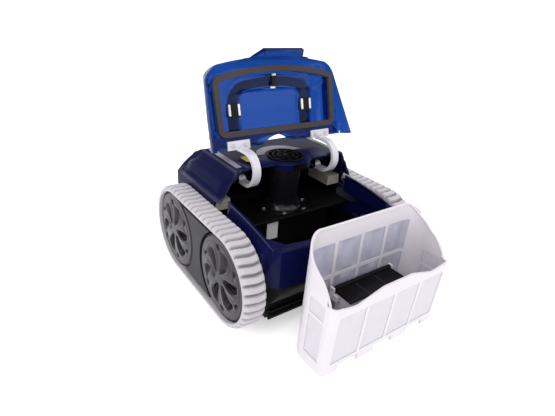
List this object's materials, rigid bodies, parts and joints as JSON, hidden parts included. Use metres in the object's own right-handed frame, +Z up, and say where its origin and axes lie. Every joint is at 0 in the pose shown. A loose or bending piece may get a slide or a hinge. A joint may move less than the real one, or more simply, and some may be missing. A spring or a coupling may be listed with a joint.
{
  "type": "pool cleaner",
  "caption": "Robotic pool cleaner on ribbed belts, with a hinged clear lid over an open bay and a removable mesh filter basket beside it.",
  "frame": {"origin": "on the floor, in the middle of the footprint of cleaner and basket together", "axes": "+Z up, +X to the cleaner's right side seen from its front, +Y to its rear; the basket stands on the -Y side"},
  "size_m": [0.42, 0.4987, 0.4522],
  "materials": {
    "navy_gloss": "glossy moulded plastic",
    "black_plastic": "satin moulded plastic",
    "steel": "stainless, satin",
    "trim_grey": "satin moulded plastic",
    "yellow_label": "printed film",
    "white_label": "printed film",
    "brush_rubber": "moulded rubber",
    "lid_blue": "clear tinted plastic, polished",
    "seal_rubber": "moulded foam rubber",
    "white_plastic": "semi-gloss moulded plastic",
    "mesh_white": "fine woven nylon filter mesh",
    "track_rubber": "moulded light grey rubber",
    "wheel_grey": "satin moulded plastic",
    "gear_plastic": "acetal",
    "foam_white": "closed-cell foam"
  },
  "bodies": {
    "cleaner": {"lower_chassis": "black_plastic", "upper_shell": "navy_gloss", "shell_screws": "steel", "wheel_axles": "steel", "cable_gland": "black_plastic", "motor_housing": "black_plastic", "pump_motor": "steel", "flow_tube": "black_plastic", "tube_screws": "steel", "outlet_grille": "black_plastic", "outlet_trim": "trim_grey", "caution_patch": "yellow_label", "rating_label": "white_label", "track_left": "track_rubber", "side_plate_left": "wheel_grey", "drive_motor_left": "steel", "foam_float_left": "foam_white", "deck_trim_left": "trim_grey", "hinge_bracket_left": "navy_gloss", "hinge_pin_left": "steel", "track_right": "track_rubber", "side_plate_right": "wheel_grey", "drive_motor_right": "steel", "foam_float_right": "foam_white", "deck_trim_right": "trim_grey", "hinge_bracket_right": "navy_gloss", "hinge_pin_right": "steel"},
    "lid": {"lid_cover": "lid_blue", "lid_gasket": "seal_rubber", "hinge_arm_left": "white_plastic", "hinge_arm_right": "white_plastic", "hinge_screws": "steel", "handle_pins": "steel", "handle_clips": "black_plastic"},
    "handle": {"carry_handle": "navy_gloss"},
    "pump_rotor": {"impeller": "black_plastic", "impeller_shaft": "steel"},
    "front_brush": {"brush_front": "brush_rubber"},
    "rear_brush": {"brush_rear": "brush_rubber"},
    "basket": {"basket_frame": "white_plastic", "mesh_back": "mesh_white", "mesh_front": "mesh_white", "mesh_left": "mesh_white", "mesh_right": "mesh_white", "flap_pin": "steel"},
    "flap": {"inlet_flap": "black_plastic"},
    "front_wheel_left": {"wheel_front_left": "wheel_grey", "hubcap_front_left": "wheel_grey"},
    "rear_wheel_left": {"wheel_rear_left": "wheel_grey", "hubcap_rear_left": "wheel_grey", "drive_gear_left": "gear_plastic"},
    "pinion_left": {"drive_pinion_left": "gear_plastic", "drive_shaft_left": "steel"},
    "front_wheel_right": {"wheel_front_right": "wheel_grey", "hubcap_front_right": "wheel_grey"},
    "rear_wheel_right": {"wheel_rear_right": "wheel_grey", "hubcap_rear_right": "wheel_grey", "drive_gear_right": "gear_plastic"},
    "pinion_right": {"drive_pinion_right": "gear_plastic", "drive_shaft_right": "steel"}
  },
  "joints": [
    {"name": "lid_hinge", "type": "hinge", "parent": "cleaner", "child": "lid", "pos_m": [0, 0.08739, 0.212], "axis": [1, 0, 0], "range_deg": [0, 110]},
    {"name": "handle_hinge", "type": "hinge", "parent": "lid", "child": "handle", "pos_m": [0, 0.13054, 0.28874], "axis": [-1, 0, 0], "range_deg": [0, 90]},
    {"name": "impeller_spin", "type": "hinge", "parent": "cleaner", "child": "pump_rotor", "pos_m": [0, 0.07289, 0.212], "axis": [0, 0, 1], "continuous": true},
    {"name": "front_brush_spin", "type": "hinge", "parent": "cleaner", "child": "front_brush", "pos_m": [0, -0.09261, 0.038], "axis": [1, 0, 0], "continuous": true},
    {"name": "rear_brush_spin", "type": "hinge", "parent": "cleaner", "child": "rear_brush", "pos_m": [0, 0.21139, 0.038], "axis": [1, 0, 0], "continuous": true},
    {"name": "basket_lift", "type": "slide", "parent": "cleaner", "child": "basket", "axis": [0, 0, 1], "range_m": [0, 0.25]},
    {"name": "inlet_flap_hinge", "type": "hinge", "parent": "basket", "child": "flap", "pos_m": [0, -0.17412, 0.1033], "axis": [-1, 0, 0], "range_deg": [0, 65]},
    {"name": "rear_wheel_spin_left", "type": "hinge", "parent": "cleaner", "child": "rear_wheel_left", "pos_m": [-0.19, 0.15774, 0.0917], "axis": [1, 0, 0], "continuous": true},
    {"name": "front_wheel_spin_left", "type": "hinge", "parent": "cleaner", "child": "front_wheel_left", "pos_m": [-0.19, -0.03896, 0.0917], "axis": [1, 0, 0], "continuous": true},
    {"name": "pinion_spin_left", "type": "hinge", "parent": "cleaner", "child": "pinion_left", "pos_m": [-0.18, 0.10974, 0.0917], "axis": [1, 0, 0], "continuous": true},
    {"name": "rear_wheel_spin_right", "type": "hinge", "parent": "cleaner", "child": "rear_wheel_right", "pos_m": [0.19, 0.15774, 0.0917], "axis": [1, 0, 0], "continuous": true},
    {"name": "front_wheel_spin_right", "type": "hinge", "parent": "cleaner", "child": "front_wheel_right", "pos_m": [0.19, -0.03896, 0.0917], "axis": [1, 0, 0], "continuous": true},
    {"name": "pinion_spin_right", "type": "hinge", "parent": "cleaner", "child": "pinion_right", "pos_m": [0.18, 0.10974, 0.0917], "axis": [1, 0, 0], "continuous": true}
  ],
  "couplings": [
    {"joint": "front_wheel_spin_left", "follows": "rear_wheel_spin_left", "ratio": 1},
    {"joint": "pinion_spin_left", "follows": "rear_wheel_spin_left", "ratio": -3},
    {"joint": "front_wheel_spin_right", "follows": "rear_wheel_spin_right", "ratio": 1},
    {"joint": "pinion_spin_right", "follows": "rear_wheel_spin_right", "ratio": -3}
  ]
}
